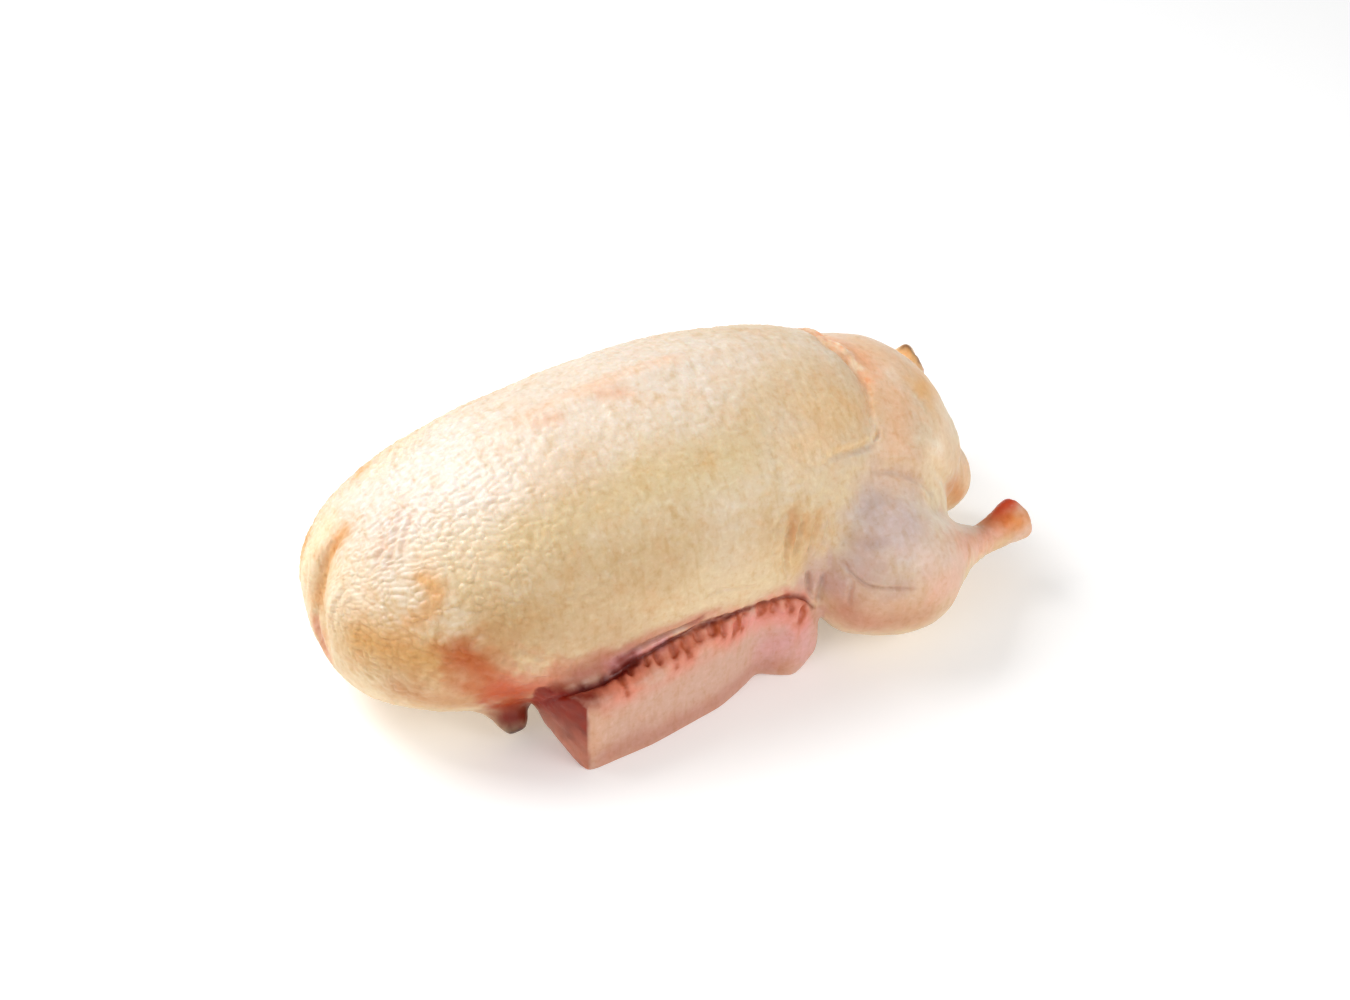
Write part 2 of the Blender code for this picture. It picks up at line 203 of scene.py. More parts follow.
# Places that keep crisp edges when the skin is evened
CRISP = (
    Spot((-104, -110, 25), 34, 0.1),
    Spot((-50, -112, 30), 38, 0.1),
    Spot((10, -98, 30), 38, 0.14),
    Spot((52, -92, 30), 26, 0.2),
    Spot((208, -70, 45), 24, 0.12),
    Spot((-131, -84, 14), 16, 0.25),
)
EVEN_SHARE = 0.5

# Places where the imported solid's hollows are filled softly by more evening
SOFT = (
    Spot((199, -16, 70), 27, 0.5),
    Spot((178, -44, 72), 20, 0.5),
    Spot((160, -62, 92), 18, 0.5),
)
SOFT_NECK = (
    Spot((-209, 2, 104), 17, 0.5),
    Spot((-219, 2, 82), 17, 0.5),
    Spot((-221, -4, 60), 17, 0.5),
)
SOFT_TAIL = (Spot((206, -16, 68), 20, 0.5),)
SOFT_ROUNDS, TAIL_ROUNDS = 110, 150

# Feather follicles lie in staggered rows round the trunk
FOLLICLE_SPACING = 5.4
FOLLICLE_HEIGHT = 1.6
FOLLICLE_JITTER = 0.6
FOLLICLE_RADIUS, RADIUS_VARIES = 0.5, 0.22
LOWEST_FOLLICLE = 0.4
ROW_DRIFT = ((24, 0.8), (10, 0.4), (5.5, 0.3))
# Painted shade in the hollows between the follicle bumps, per colour channel
FOLLICLE_PAINTED_SHADE = (0.06, 0.1, 0.17)
FOLLICLES_REFINED = 0.66
TRUNK_AXIS_HEIGHT = 78
TRUNK_RADIUS = 100
NECK_TIP, CAP_LENGTH = -222, 110
CAP_BLUNTNESS = 2.7
FOLLICLE_BASE = 0.38
FOLLICLE_SPOTS = (
    Spot((-165, -50, 120), 60, 1.0),
    Spot((-190, -60, 80), 40, 0.8),
    Spot((-60, -80, 120), 90, 0.65),
    Spot((30, -70, 140), 60, 0.55),
    Spot((-150, -40, 130), 42, 1.0),
    Spot((110, -90, 60), 60, 0.1),
    Spot((150, -20, 110), 60, 0.15),
    Spot((-20, -112, 25), 70, 0.05),
)

# Unevenness of the whole skin: size, height and seed of each layer, and ridges drawn out round the trunk
LUMPS = ((26, 0.7, 5), (9, 0.28, 6), (4.5, 0.1, 13))
RIDGE_SIZE, RIDGE_HEIGHT, RIDGE_STRETCH = 4.6, 0.2, 0.28
FLAT_FOOT = 8

# How unevenly a tint fades: size, height and seed of each layer. How far it reaches, in widths
TINT_FADE = ((11, 0.3, 7), (4, 0.22, 8))
TINT_REACH = 2.6

# Paint, as screen colours from 0 to 255
BASE = (233, 208, 168)
# Skin facing up is paler and less yellow: partly its own colour, partly painted light from the lamps above
PALE_LIT_TOP = (234, 219, 203)
LIT_TOP_RISE, LIT_TOP_START = 1.6, 0.55
FAR_FAT_DROP = (0, 14, -18)
FAT_TINTS = (
    # the olive-yellow band of fat along the flank
    Tint(((-147, -63, 122), (-92, -64, 140), (-36, -63, 150), (21, -63, 153)), 22, (227, 201, 154), 0.85),
    # a paler stretch along the band, partly a painted highlight
    Tint(((-36, -70, 146), (10, -70, 146)), 13, (230, 210, 168), 0.5),
    Tint(((-92, -42, 158), (-70, -46, 160)), 16, (230, 204, 176), 0.5),
)
TRUNK_TINTS = (
    # the pale, bluish-white shoulder, whitened partly as a painted sheen of the light
    Tint(((-172, -20, 128), (-146, -16, 142), (-128, -24, 148)), 26, (246, 236, 230), 0.7),
    Tint(((-166, -44, 130), (-148, -52, 131)), 15, (248, 234, 212), 0.6),
    # darker yellow low on the flank, and the pale thigh end
    Tint(((-140, -84, 104), (-116, -92, 98)), 18, (210, 174, 124), 0.85),
    Tint(((-90, -83, 122), (-50, -88, 118), (-24, -85, 124)), 16, (216, 185, 133), 0.6),
    Tint(((-147, -58, 126), (-136, -66, 124)), 9, (236, 214, 184), 0.6),
    Tint(((-112, -97, 86), (-92, -99, 82), (-70, -99, 82)), 11, (208, 172, 130), 0.7),
    Tint(((-92, -92, 102), (-40, -93, 108)), 22, (220, 188, 146), 0.8),
    Tint(((52, -40, 166), (92, -30, 163), (96, -44, 148)), 26, (227, 198, 156), 0.7),
    Tint(((2, -87, 122), (-2, -94, 106), (14, -92, 108)), 15, (226, 202, 172), 0.6),
    Tint(((26, -86, 122), (26, -90, 104)), 9, (222, 188, 144), 0.6),
    Tint(((75, -50, 158), (95, -47, 148), (62, -62, 142)), 16, (240, 202, 152), 0.7),
    # the neck end: cream in front, orange round the shoulder
    Tint(((-207, -34, 99), (-214, -22, 108)), 18, (248, 228, 202), 0.8),
    Tint(((-208, -46, 82), (-200, -60, 82), (-190, -72, 81), (-180, -79, 82)), 16, (218, 164, 95), 0.9),
    Tint(((-162, -86, 83), (-154, -91, 78), (-149, -93, 68)), 11, (190, 82, 8), 0.97),
    Tint(((-146, -91, 92), (-138, -93, 82)), 12, (204, 156, 104), 0.6),
    Tint(((-162, -90, 62), (-148, -92, 54), (-136, -92, 50)), 14, (197, 106, 50), 0.9),
    Tint(((-196, -69, 58), (-178, -78, 50), (-166, -84, 46)), 13, (202, 144, 94), 0.8),
    Tint(((-173, -52, 117), (-167, -57, 113)), 6, (232, 172, 100), 0.8),
    Tint(((-165, -63, 112), (-173, -68, 106), (-180, -68, 101)), 6.5, (226, 172, 112), 0.8),
    # raw red round the root of the wing
    Tint(((-140, -93, 58), (-124, -96, 50), (-112, -97, 53)), 9, (224, 124, 92), 0.9),
    Tint(((-130, -96, 62), (-105, -98, 62), (-80, -98, 64)), 7, (224, 156, 126), 0.7),
    Tint(((-100, -99, 55), (-90, -100, 55), (-82, -99, 57)), 5, (204, 116, 98), 0.85),
    # wrinkled orange skin in front of the thigh
    Tint(((42, -88, 110), (48, -91, 94), (56, -88, 100)), 14, (218, 184, 138), 0.65),
    Tint(((44, -86, 116), (43, -90, 106), (42, -92, 96)), 3.5, (212, 156, 104), 0.85),
    Tint(((54, -86, 110), (51, -89, 98)), 3.5, (222, 172, 118), 0.7),
    Tint(((62, -84, 108), (58, -88, 97)), 3, (218, 170, 118), 0.65),
    Tint(((43, -93, 88), (46, -92, 78)), 7, (226, 188, 134), 0.7),
    Tint(((56, -90, 78), (62, -90, 70)), 6, (206, 178, 154), 0.7),
)
KEEL_TINTS = (
    Tint(((-122, -3, 154), (-90, 2, 163), (-50, 2, 170), (10, 0, 176)), 6, (238, 198, 168), 0.5),
    Tint(((-84, -6, 164), (-70, -8, 167)), 5, (232, 178, 142), 0.5),
    Tint(((-40, -6, 172), (-28, -10, 172)), 6, (234, 180, 146), 0.55),
)
NECK_TINTS = (
    Tint(((-205, 22, 104), (-216, 22, 86), (-220, 18, 66)), 12, (252, 226, 192), 0.9),
    Tint(((-198, 6, 117), *NECK_CREASE[1:]), 6, (226, 168, 108), 0.85),
    Tint(((-221, 3, 60), (-222, -4, 50), (-219, -14, 44)), 5, (224, 160, 132), 0.8),
    Tint(((-202, 6, 112), (-206, 6, 104)), 4, (222, 160, 98), 0.5),
)
LEG_TINTS = (
    Tint(((72, -108, 58), (100, -120, 56), (132, -116, 52)), 24, (222, 180, 150), 0.7),
    Tint(((110, -72, 108), (128, -74, 104)), 16, (230, 196, 168), 0.85),
    Tint(((100, -84, 101), (104, -92, 96)), 17, (213, 190, 181), 0.9),
    Tint(((114, -98, 91), (108, -108, 86)), 17, (210, 186, 179), 0.9),
    Tint(((88, -98, 88), (84, -102, 80)), 12, (214, 190, 184), 0.85),
    Tint(((88, -100, 87), (92, -102, 86)), 3.5, (176, 148, 146), 0.4),
    Tint(((96, -104, 86), (98, -104, 88)), 3, (176, 148, 146), 0.35),
    Tint(((124, -116, 74), (138, -108, 66)), 16, (236, 206, 188), 0.85),
    Tint(((84, -104, 76), (92, -112, 70), (100, -116, 66)), 11, (202, 174, 160), 0.6),
    # a painted glint of light on the moist thigh
    Tint(((104, -88, 99), (112, -90, 98)), 4, (228, 210, 206), 0.6),
    Tint(((66, -104, 62), (58, -92, 62)), 12, (210, 178, 171), 0.85),
    Tint(((72, -106, 46), (86, -114, 38)), 16, (208, 144, 116), 0.85),
    Tint(((104, -120, 40), (116, -120, 42)), 14, (206, 153, 119), 0.85),
    Tint(((126, -118, 58), (146, -104, 56)), 12, (232, 184, 160), 0.8),
    Tint(((158, -96, 60), (172, -90, 52)), 12, (238, 182, 158), 0.85),
    Tint(((183, -82, 48), (194, -78, 46)), 9, (242, 176, 150), 0.85),
    Tint(((190, -72, 52), (200, -72, 50)), 5, (226, 134, 80), 0.8),
    Tint(((106, -68, 114), (124, -71, 109), (141, -73, 97), (147, -74, 86)), 1.8, (196, 160, 142), 0.3),
    Tint(((68, -102, 82), (73, -105, 75), (80, -112, 69), (95, -118, 66), (110, -121, 63)), 1.4,
         (186, 134, 104), 0.4),
)
SHANK_END_TINTS = (
    Tint((SHANK_END, (219, -72, 42)), 10, (236, 208, 180), 0.8),
    Tint(((219, -78, 46), (219, -76, 38)), 3.5, (222, 150, 118), 0.7),
    Tint(((219, -64, 44), (220, -61, 40)), 3, (196, 112, 84), 0.8),
    Tint(((217, -69, 56), (220, -70, 44), (217, -71, 33)), 2, (214, 160, 124), 0.6),
    Tint(SHANK_RIM, 2.6, (210, 138, 92), 0.6),
)
NEAR_KNOB_TINTS = (
    Tint(((206, -76, 48), (214, -82, 44)), 9, (236, 150, 74), 0.95),
    Tint(((214, -84, 42), (206, -86, 38)), 6, (230, 196, 174), 0.9),
    Tint(((199, -64, 57), (208, -64, 60), (211, -58, 56)), 8.5, (213, 66, 0), 0.97),
)
FAR_KNOB_TINTS = (
    Tint(((206, -76, 48), (214, -82, 44)), 12, (248, 210, 150), 0.95),
    Tint(((200, -66, 57), (208, -67, 60), (212, -60, 56)), 9, (238, 184, 122), 0.95),
    Tint(((212, -74, 60), (219, -68, 58), (222, -60, 50)), 3, (110, 64, 30), 0.8),
)
BELLY_TINTS = (
    Tint(((143, 16, 145), (150, -4, 140)), 26, (240, 195, 152), 0.8),
    Tint(((125, -36, 143), (134, -40, 139), (128, -60, 122)), 16, (236, 186, 144), 0.8),
    Tint(((164, -44, 116), (160, -60, 104), (168, -30, 118)), 12, (248, 214, 176), 0.7),
    # a painted highlight on the bulge of the tail lobe
    Tint(((157, -59, 111), (160, -58, 106)), 5, (255, 240, 220), 0.6),
    Tint(((160, -31, 133), (172, -14, 122), (170, 20, 122)), 10, (244, 188, 120), 0.85),
    Tint(((170, -50, 98), (178, -44, 84), (190, -30, 72)), 12, (222, 184, 144), 0.6),
    Tint(((178, -47, 66), (190, -34, 52), (196, -26, 38)), 10, (224, 152, 88), 0.85),
    Tint(((204, -24, 59), (205, -24, 50), (208, -2, 46), (190, 26, 48)), 9, (238, 194, 150), 0.8),
)
FOREARM_SKIN = (216, 172, 150)
WING_TINTS = (
    Tint(((-96, -116, 30), (-20, -109, 31), (30, -95, 28)), 26, (216, 174, 152), 0.95),
    Tint(((-90, -118, 8), (-30, -110, 6), (30, -96, 10)), 9, (199, 141, 121), 0.85),
    Tint(((-98, -120, 20), (-96, -119, 34)), 8, (222, 174, 144), 0.7),
    Tint(((-90, -115, 44), (-60, -114, 44), (-20, -106, 44)), 5, (220, 156, 134), 0.6),
    Tint(((30, -94, 26), (47, -97, 30), (50, -95, 16)), 12, (226, 168, 166), 0.85),
    Tint(((44, -96, 46), (50, -94, 38)), 7, (230, 140, 138), 0.8),
    Tint(((-100, -112, 50), (-85, -114, 50), (-69, -111, 52)), 7, (210, 112, 82), 0.9),
    Tint(((-78, -111, 51), (-59, -109, 53), (-30, -105, 54), (0, -99, 53)), 7, (238, 149, 116), 0.8),
    Tint(((0, -99, 53), (22, -93, 50), (40, -96, 50)), 6, (236, 151, 147), 0.8),
    Tint(((14, -96, 44), (40, -96, 44)), 6, (238, 168, 154), 0.6),
    Tint(((-142, -90, 54), (-134, -92, 48), (-132, -88, 38)), 11, (196, 84, 36), 0.92),
    # the nub under the wrist: red-brown, darker towards its foot, partly as painted shade near the floor
    Tint(((-142, -82, 34), (-131, -82, 31)), 11, (180, 66, 6), 0.98),
    Tint(((-138, -82, 22), (-126, -82, 20)), 10, (128, 24, 0), 0.98),
    Tint(((-135, -85, 10), (-129, -86, 10)), 7, (60, 8, 0), 0.95),
    Tint(((-76, -100, 55), (-60, -99, 57), (-44, -98, 60)), 4, (238, 187, 204), 0.9),
    Tint(((-80, -98, 60), (-56, -98, 66), (-33, -97, 69), (-10, -96, 70)), 4, (214, 140, 116), 0.7),
)
# Raw red flesh down the crack, painted darker still as shade in the deep gap, near-black at the wrist
CRACK_RED_AND_SHADE_TINTS = (
    Tint(((-112, -104, 48), (-104, -111, 49), (-97, -115, 48)), 5, (124, 24, 4), 0.95),
    Tint(CRACK[:7], 4.5, (160, 50, 32), 0.7),
    Tint(CRACK[:7], 2.6, (132, 24, 6), 0.9),
    Tint(CRACK[3:7], 3.0, (96, 8, 0), 0.95),
    Tint(CRACK[6:13], 2, (108, 24, 4), 0.92),
    Tint(CRACK[12:], 1.6, (134, 54, 28), 0.8),
)
LIP_LINE_TINT = Tint(LIP_LINE.points, 1.6, (150, 72, 58), 0.65)
# The torn band's colour follows its knobs: pale with a painted highlight on top, orange darkened as painted
# shade between
TORN_ORANGE_SHADED, TORN_PALE_HIGHLIGHT = (248, 168, 116), (255, 226, 192)
TORN_PAINT, TORN_CONTRAST = 0.85, 1.1
TORN_TINTS = (
    Tint(((116, 26, 152), (124, 12, 153), (130, -4, 151), (130, -16, 148)), 11, (242, 176, 128), 0.8),
    Tint(TORN_STEP.points, 1.4, (206, 146, 92), 0.6),
)
QUILL_TINT = Tint(None, 2.2, (182, 86, 44), 0.9)
QUILL_EDGE_TINT = Tint(None, 5.5, (234, 146, 124), 0.7)
WRINKLE_TINT = Tint(None, 1.8, (222, 168, 134), 0.25)
RAW_CUT = (142, 42, 18)
RAW_CUT_LOW = (195, 127, 103)

# Where the forearm's paint ends: along its length, towards the trunk, and over the crack
FOREARM_FROM_X, FOREARM_TO_X, FOREARM_INNER_Y = -132, 66, 86
CRACK_EDGE, CRACK_BLEND = 1.5, 3
CUT_FROM_X, CUT_TO_X, CUT_INNER_Y, CUT_TOP = -130, -92, 88, 51
CUT_FOOT, CUT_FADE = 10, 28
CUT_FACING, CUT_FACING_BLEND = 0.3, 0.25
CUT_MARBLING, CUT_MARBLING_SIZE = 0.25, 5

# Grain of the skin's material: noise scales per metre, and what each lightens or darkens
BLOTCH_SCALE, MOTTLE_SCALE, GRAIN_SCALE, STREAK_SCALE = 55, 260, 1100, 210
BLOTCH_SHADE = (1.0, 0.93, 0.87, 1)
MOTTLE_LIGHT = (1.06, 1.1, 1.15, 1)
MOTTLE_DARK = (0.94, 0.88, 0.8, 1)
STREAK_DARK = (0.95, 0.91, 0.84, 1)
STREAK_STRETCH = (1.0, 0.3, 0.3)
LEAST_ROUGH, MOST_ROUGH = 0.34, 0.52
GRAIN_HEIGHT, MOTTLE_HEIGHT = 0.10, 0.35
BUMP_DEPTH, BUMP_STRENGTH = 0.8 * MM, 0.8

# Moist gloss, and light that sinks a few millimetres in
SKIN_GLOSS = {
    "Specular IOR Level": 0.2,
    "Subsurface Weight": 0.25,
    "Subsurface Radius": (1.0, 0.5, 0.3),
    "Subsurface Scale": 4 * MM,
    "Coat Weight": 0.2,
    "Coat Roughness": 0.15,
}

# The studio: soft boxes by name, place, size and power, a pale room and a floor that glows a little
SOFT_BOXES = (
    ("key", (-0.7, 0.8, 1.3), 1.0, 23),
    ("front", (0.9, -1.35, 1.0), 1.0, 11),
    ("left", (-1.6, -0.9, 0.8), 1.0, 5),
)
ROOM_LIGHT = 0.38
FLOOR_REACH = 6.0
FLOOR_COLOUR = (0.93, 0.93, 0.93, 1)
FLOOR_GLOW = 0.22


def smooth_through(places, values, at):
    """Cubic curve through the given values, read at any place."""
    places = np.asarray(places, float)
    values = np.asarray(values, float)
    slopes = np.gradient(values, places)
    index = np.clip(np.searchsorted(places, at) - 1, 0, len(places) - 2)
    step = places[index + 1] - places[index]
    t = np.clip((at - places[index]) / step, 0, 1)
    rise = t * t * (3 - 2 * t)
    return (
        values[index] * (1 - rise)
        + values[index + 1] * rise
        + slopes[index] * step * t * (1 - t) ** 2
        - slopes[index + 1] * step * t * t * (1 - t)
    )


def route_through(points, spacing=1.0):
    """Points about a millimetre apart on a smooth curve through the given ones."""
    points = np.asarray(points, float)
    lengths = np.linalg.norm(np.diff(points, axis=0), axis=1)
    places = np.concatenate([[0], np.cumsum(lengths)])
    at = np.linspace(0, places[-1], int(places[-1] / spacing) + 2)
    return np.column_stack([smooth_through(places, points[:, axis], at) for axis in range(3)])


def mirrored(points, side):
    """Points given for the near side, on either side."""
    return np.asarray(points, float) * (1, -side, 1)


def on_leg(points, side):
    """Points given for the near leg, on either leg."""
    points = np.asarray(points, float)
    if side < 0:
        return points
    angle = math.radians(FAR_LEG_LIFT)
    x, y, z = (points - HIP).T
    turned = np.column_stack(
        [x * math.cos(angle) - z * math.sin(angle), y, x * math.sin(angle) + z * math.cos(angle)]
    )
    return mirrored(turned + HIP, side)


def distance_to(points, route):
    """Distance of every point from a route, and how far along the route its nearest place lies, 0 to 1."""
    at_once = 4096
    distance = np.empty(len(points))
    share = np.empty(len(points))
    for start in range(0, len(points), at_once):
        part = slice(start, start + at_once)
        gap = points[part, None, :] - route[None, :, :]
        squared = np.einsum("ijk,ijk->ij", gap, gap)
        nearest = squared.argmin(axis=1)
        distance[part] = np.sqrt(squared[np.arange(len(nearest)), nearest])
        share[part] = nearest / (len(route) - 1)
    return distance, share


def near(points, route, reach):
    """Indices of the points inside a route's box with a margin."""
    low, high = route.min(axis=0) - reach, route.max(axis=0) + reach
    return np.flatnonzero(((points > low) & (points < high)).all(axis=1))


def soft_noise(points, size, seed):
    """Smooth random values from -1 to 1 that change over the given size."""
    cell = np.floor(points / size).astype(np.int64)
    part = points / size - cell
    part = part * part * (3 - 2 * part)
    total = np.zeros(len(points))
    for corner in product((0, 1), repeat=3):
        at = cell + np.array(corner)
        mixed = (at[:, 0] * 73856093) ^ (at[:, 1] * 19349663) ^ (at[:, 2] * 83492791) ^ (seed * 2654435)
        mixed = ((mixed ^ (mixed >> 13)) * 1274126177) & 0x7FFFFFFF
        value = ((mixed >> 7) & 0xFFFF) / 32767.5 - 1
        weight = np.where(corner, part, 1 - part).prod(axis=1)
        total += value * weight
    return total


def layered_noise(points, layers):
    """Sum of several layers of soft noise, each given by its size, height and seed."""
    return sum(height * soft_noise(points, size, seed) for size, height, seed in layers)


def linear(colour):
    """Screen colour from 0 to 255 as linear light."""
    part = np.asarray(colour, float) / 255
    return np.where(part <= 0.04045, part / 12.92, ((part + 0.055) / 1.055) ** 2.4)


def points_of(mesh):
    """The mesh's points in millimetres."""
    points = np.empty(len(mesh.vertices) * 3, np.float32)
    mesh.vertices.foreach_get("co", points)
    return points.reshape(-1, 3).astype(float) / MM


def normals_of(mesh):
    normals = np.empty(len(mesh.vertices) * 3, np.float32)
    mesh.vertex_normals.foreach_get("vector", normals)
    return normals.reshape(-1, 3).astype(float)


def set_points(mesh, points):
    mesh.vertices.foreach_set("co", (points * MM).astype(np.float32).ravel())
    mesh.update()


def apply_modifiers(made):
    graph = bpy.context.evaluated_depsgraph_get()
    made.data = bpy.data.meshes.new_from_object(made.evaluated_get(graph))
    made.modifiers.clear()


def relax(mesh, rounds, factor):
    """Moves each point towards the middle of its neighbours."""
    edges = np.empty(len(mesh.edges) * 2, np.int32)
    mesh.edges.foreach_get("vertices", edges)
    first, second = edges.reshape(-1, 2).T
    points = points_of(mesh)
    count = np.bincount(edges, minlength=len(points))[:, None]
    for _ in range(rounds):
        total = np.zeros_like(points)
        for axis in range(3):
            total[:, axis] += np.bincount(first, points[second, axis], len(points))
            total[:, axis] += np.bincount(second, points[first, axis], len(points))
        points += (total / count - points) * factor
    set_points(mesh, points)


def snapped(route, tree, rounds=3):
    """A route laid onto the skin's nearest points and smoothed."""
    laid = np.array([tree.find(place)[0] for place in route])
    for _ in range(rounds):
        laid[1:-1] = (laid[:-2] + 2 * laid[1:-1] + laid[2:]) / 4
    return laid


def tree_of(points):
    tree = KDTree(len(points))
    for index, place in enumerate(points):
        tree.insert(place, index)
    tree.balance()
    return tree


def quill_routes(side):
    """A short route for each hollow, from the crack over the forearm's edge."""
    crack = route_through(CRACK)
    gap = (QUILL_TO - QUILL_FROM) / QUILL_COUNT
    for number in range(QUILL_COUNT):
        share = QUILL_FROM + gap * (number + 0.5 + QUILL_SHIFT * math.sin(3.7 * number))
        start = crack[int(share * (len(crack) - 1))]
        lean = QUILL_LEAN * math.sin(2.4 * number + 1)
        length = 1 + QUILL_LENGTH_VARIES * math.sin(5.1 * number)
        run = np.array(QUILL_RUN, float) * length + (lean, 0, 0)
        middle = start + run * QUILL_BEND
        yield route_through(mirrored((start + run * QUILL_START, middle, start + run), side))


def placed_folds(tree):
    """Every fold of the skin with its route laid on the skin, on both sides."""
    for fold in MIDLINE_FOLDS:
        yield snapped(route_through(fold.points), tree), fold
    for points in (*SHOULDER_WRINKLES, *ROOT_WRINKLES):
        yield snapped(route_through(points), tree), WRINKLE
    yield snapped(route_through(TORN_STEP.points), tree), TORN_STEP
    for side in (-1, 1):
        for fold in (*FLANK_FOLDS, *CRACK_PARTS, LIP_LINE):
            yield snapped(route_through(mirrored(fold.points, side)), tree), fold
        for fold in LEG_FOLDS:
            yield snapped(route_through(on_leg(fold.points, side)), tree), fold
        for route in quill_routes(side):
            yield snapped(route, tree), QUILL_GROOVE


def run_out(share):
    """How strong a fold is at its place along the route, 0 at both ends and soon 1."""
    return np.clip(np.minimum(RUN_OUT_RATE * share, RUN_OUT_RATE * (1 - share)), 0, 1)


def press(points, normals, route, fold):
    """Sinks a fold into the skin along a route, with a lip beside it. The ends run out shallow."""
    chosen = near(points, route, 4 * fold.width)
    distance, share = distance_to(points[chosen], route)
    strength = run_out(share) * (1 + DEPTH_VARIES * soft_noise(points[chosen], DEPTH_VARIES_OVER, 11))
    sink = fold.depth * np.exp(-((distance / fold.width) ** 2))
    lip = fold.lip * np.exp(-((distance / fold.width - LIP_PLACE) ** 2))
    points[chosen] += normals[chosen] * ((lip - sink) * strength)[:, None]


def torn_knobs(points):
    """Uneven knobs of the torn edge, about -1 to 1."""
    return layered_noise(points, KNOBS)


def tear(points, normals, route):
    """Raises the torn edge of the breast skin as a knobbly band."""
    chosen = near(points, route, 3 * TORN_WIDTH)
    distance, share = distance_to(points[chosen], route)
    band = np.exp(-((distance / TORN_WIDTH) ** 2))
    knobs = KNOB_BASE + KNOB_RISE * torn_knobs(points[chosen])
    points[chosen] += normals[chosen] * (TORN_HEIGHT * band * knobs * run_out(share))[:, None]


def drift(points, seed):
    """How far the rows of follicles wander, in rows."""
    return sum(share * soft_noise(points, size, seed + k) for k, (size, share) in enumerate(ROW_DRIFT))


def follicle_rows(points):
    """Where each point lies in the staggered rows of follicles, counted in rows along and round the trunk."""
    along = np.linspace(-1, 0, 400)
    cap_x = NECK_TIP + CAP_LENGTH * (1 + along)
    cap_radius = TRUNK_RADIUS * (1 - np.abs(along) ** CAP_BLUNTNESS) ** (1 / CAP_BLUNTNESS)
    steps = np.hypot(np.diff(cap_x), np.diff(cap_radius))
    lengths = np.concatenate([[0], np.cumsum(steps)])
    x, y, z = points.T
    run = np.interp(x, cap_x, lengths) + np.clip(x - cap_x[-1], 0, None)
    round_it = np.arctan2(y, z - TRUNK_AXIS_HEIGHT) * TRUNK_RADIUS
    along_rows = run / FOLLICLE_SPACING + drift(points, 1)
    round_rows = round_it / FOLLICLE_SPACING + drift(points, 4)
    return along_rows, round_rows


def scatter(row, column, seed):
    """A random value from 0 to 1 for each cell."""
    mixed = np.sin(row * 12.9898 + column * 78.233 + seed * 37.719) * 43758.5453
    return mixed - np.floor(mixed)


def follicle_bump(points):
    """Height of the follicle bumps, 0 to 1: one to a cell, no two alike, with every other row offset."""
    along, around = follicle_rows(points)
    bump = np.zeros(len(points))
    for row_step, column_step in product((-1, 0, 1), repeat=2):
        row = np.floor(along) + row_step
        column = np.floor(around) + column_step
        middle_row = row + 0.5 + FOLLICLE_JITTER * (scatter(row, column, 1) - 0.5)
        row_offset = 0.5 * (row % 2) + 0.25
        middle_column = column + row_offset + FOLLICLE_JITTER * (scatter(row, column, 2) - 0.5)
        radius = FOLLICLE_RADIUS + RADIUS_VARIES * scatter(row, column, 3)
        height = LOWEST_FOLLICLE + (1 - LOWEST_FOLLICLE) * scatter(row, column, 4)
        squared = ((along - middle_row) ** 2 + (around - middle_column) ** 2) / radius**2
        bump = np.maximum(bump, height * (1 - squared))
    return bump


def follicle_strength(points):
    """How much the follicles stand out, from 0 to 1."""
    strength = np.full(len(points), FOLLICLE_BASE)
    for spot in FOLLICLE_SPOTS:
        for side in (-1, 1):
            reach = np.linalg.norm(points - mirrored(spot.centre, side), axis=1) / spot.radius
            share = np.exp(-(reach**2))
            strength += (spot.value - strength) * share
    return strength


def close_tube(bm, rings):
    """Sides between the rings and a face at both ends. The first end is returned."""
    for ring, following in zip(rings, rings[1:]):
        for k in range(len(ring)):
            bm.faces.new((ring[k], ring[k - 1], following[k - 1], following[k]))
    first_end = bm.faces.new(rings[0])
    bm.faces.new(rings[-1][::-1])
    bmesh.ops.recalc_face_normals(bm, faces=bm.faces)
    return first_end


def make_forearm(side):
    """The folded forearm with crisp edges, as a mesh: a cage of square rings, rounded by subdivision."""
    bm = bmesh.new()
    crease = bm.edges.layers.float.new("crease_edge")
    rings = []
    for outer_x, inner_x, outer_y, inner_y, bottom, top in FOREARM_STATIONS:
        tuck_x, tuck_z = (0, 0) if rings else (WRIST_TUCK_X, WRIST_TUCK_Z)
        corners = (
            (outer_x, outer_y, bottom),
            (inner_x + tuck_x, inner_y, bottom + tuck_z),
            (inner_x, inner_y, top),
            (outer_x, outer_y, top),
        )
        rings.append([bm.verts.new(Vector(corner) * MM) for corner in mirrored(corners, side)])
    wrist = close_tube(bm, rings)
    for edge in bm.edges:
        edge[crease] = EDGE_CREASE
    for edge in wrist.edges:
        edge[crease] = WRIST_CREASE
    return rounded_mesh("forearm", bm, FOREARM_LEVELS)


def make_lip(side):
    """The lip of skin over the forearm, as a closed tube."""
    route = mirrored(LIP, side)
    bm = bmesh.new()
    rings = []
    for index, (centre, radius) in enumerate(zip(route, LIP_RADII)):
        ahead = route[min(index + 1, len(route) - 1)] - route[max(index - 1, 0)]
        turn = Vector(ahead).to_track_quat("Z", "Y")
        ring = []
        for k in range(LIP_SIDES):
            angle = math.tau * k / LIP_SIDES
            spot = turn @ Vector((math.cos(angle), math.sin(angle), 0)) * radius
            ring.append(bm.verts.new((Vector(centre) + spot) * MM))
        rings.append(ring)
    close_tube(bm, rings)
    return rounded_mesh("lip", bm, LIP_LEVELS)


